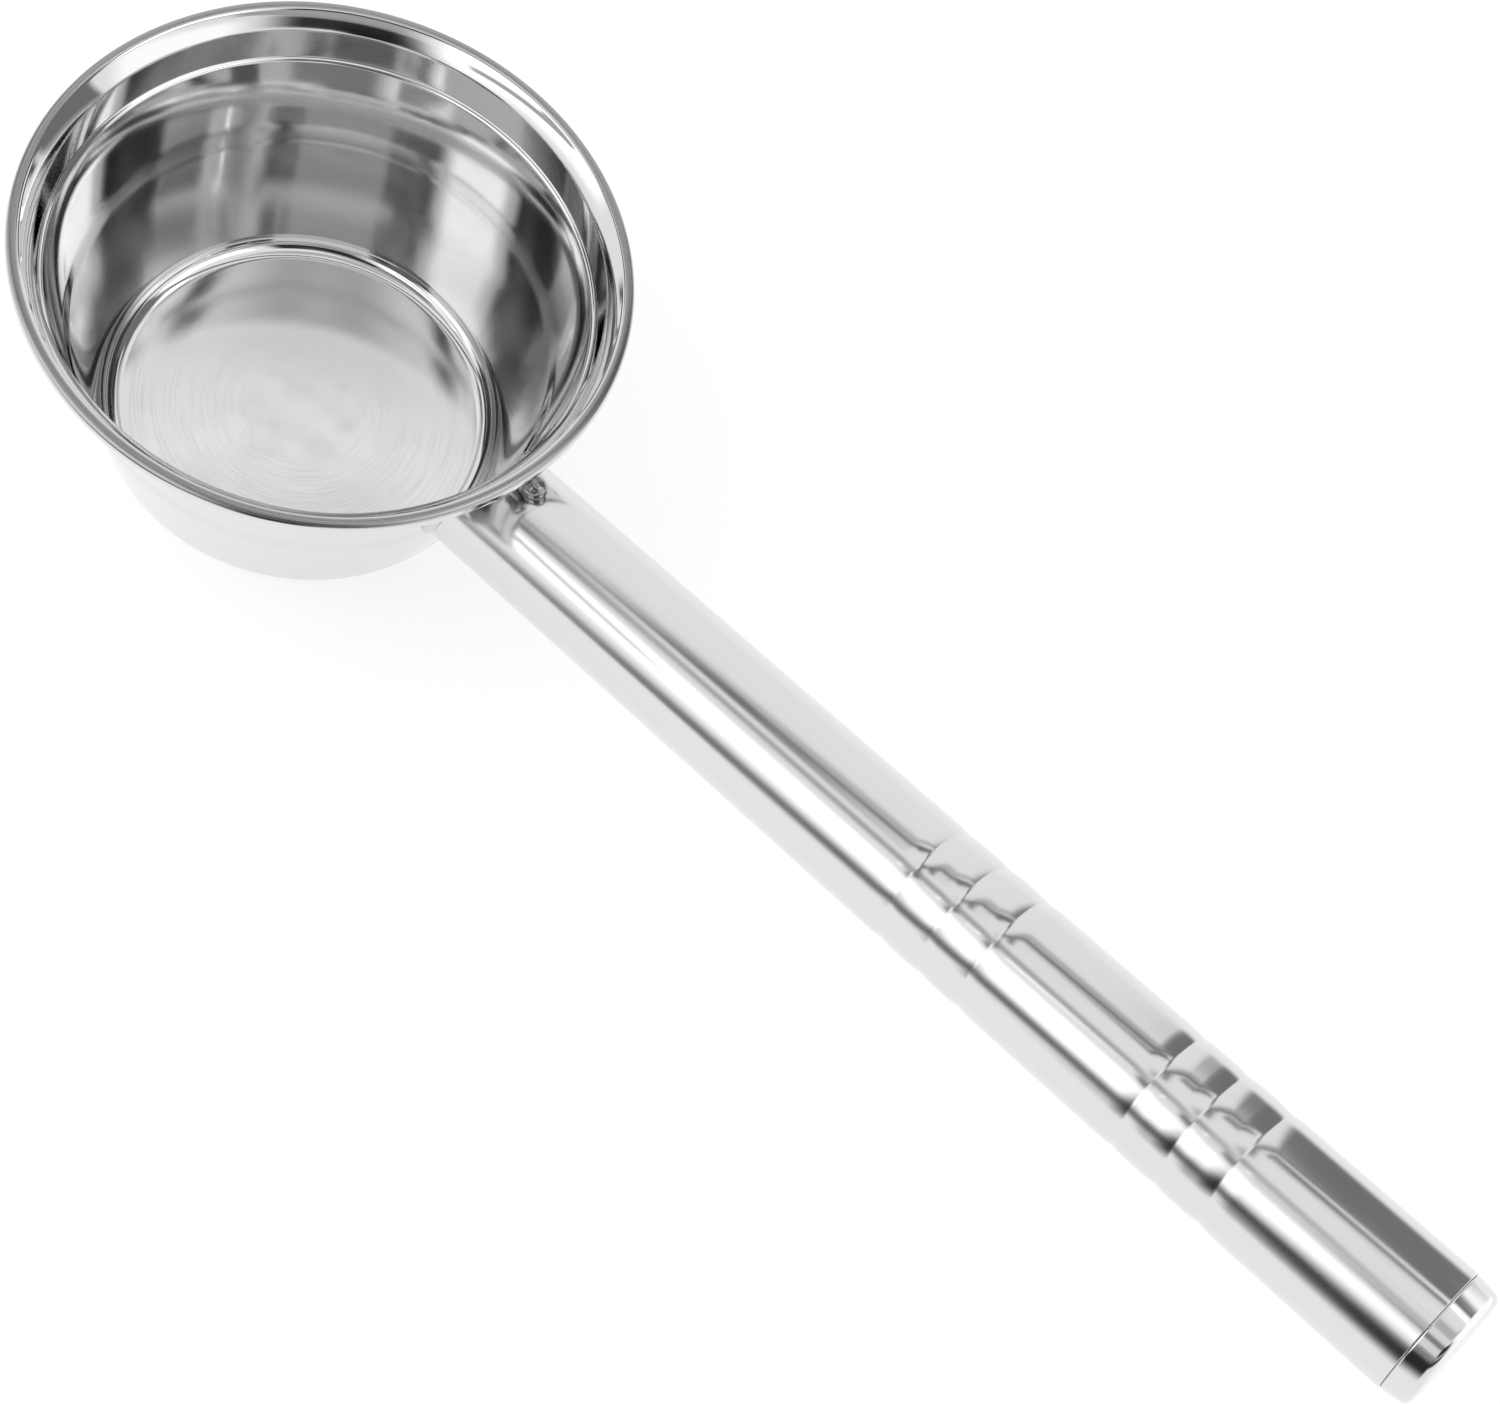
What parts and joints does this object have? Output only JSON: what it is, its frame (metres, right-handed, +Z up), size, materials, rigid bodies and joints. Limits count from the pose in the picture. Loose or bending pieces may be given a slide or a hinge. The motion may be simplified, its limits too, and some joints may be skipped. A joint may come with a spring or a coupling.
{
  "type": "water dipper",
  "caption": "Stainless steel water dipper: a tapered drawn bowl with a stepped, rolled rim and a raised tubular handle with rolled grip grooves and a pressed end cap.",
  "frame": {"origin": "centre of the bowl's flat underside, on the surface that the bowl stands on", "axes": "+Z up along the bowl's axis, +X towards the handle's free end"},
  "size_m": [0.4015, 0.14, 0.128],
  "materials": {
    "bowl_steel": "polished drawn stainless sheet, satin base inside, fine turned marks",
    "handle_steel": "polished stainless tube with faint lengthwise marks",
    "cap_steel": "polished pressed stainless sheet",
    "weld_metal": "as-welded stainless, smooth and slightly dull"
  },
  "bodies": {
    "root": {"bowl": "bowl_steel", "handle_tube": "handle_steel", "end_cap": "cap_steel", "top_weld": "weld_metal", "side_welds": "weld_metal", "under_weld": "weld_metal"}
  },
  "joints": []
}
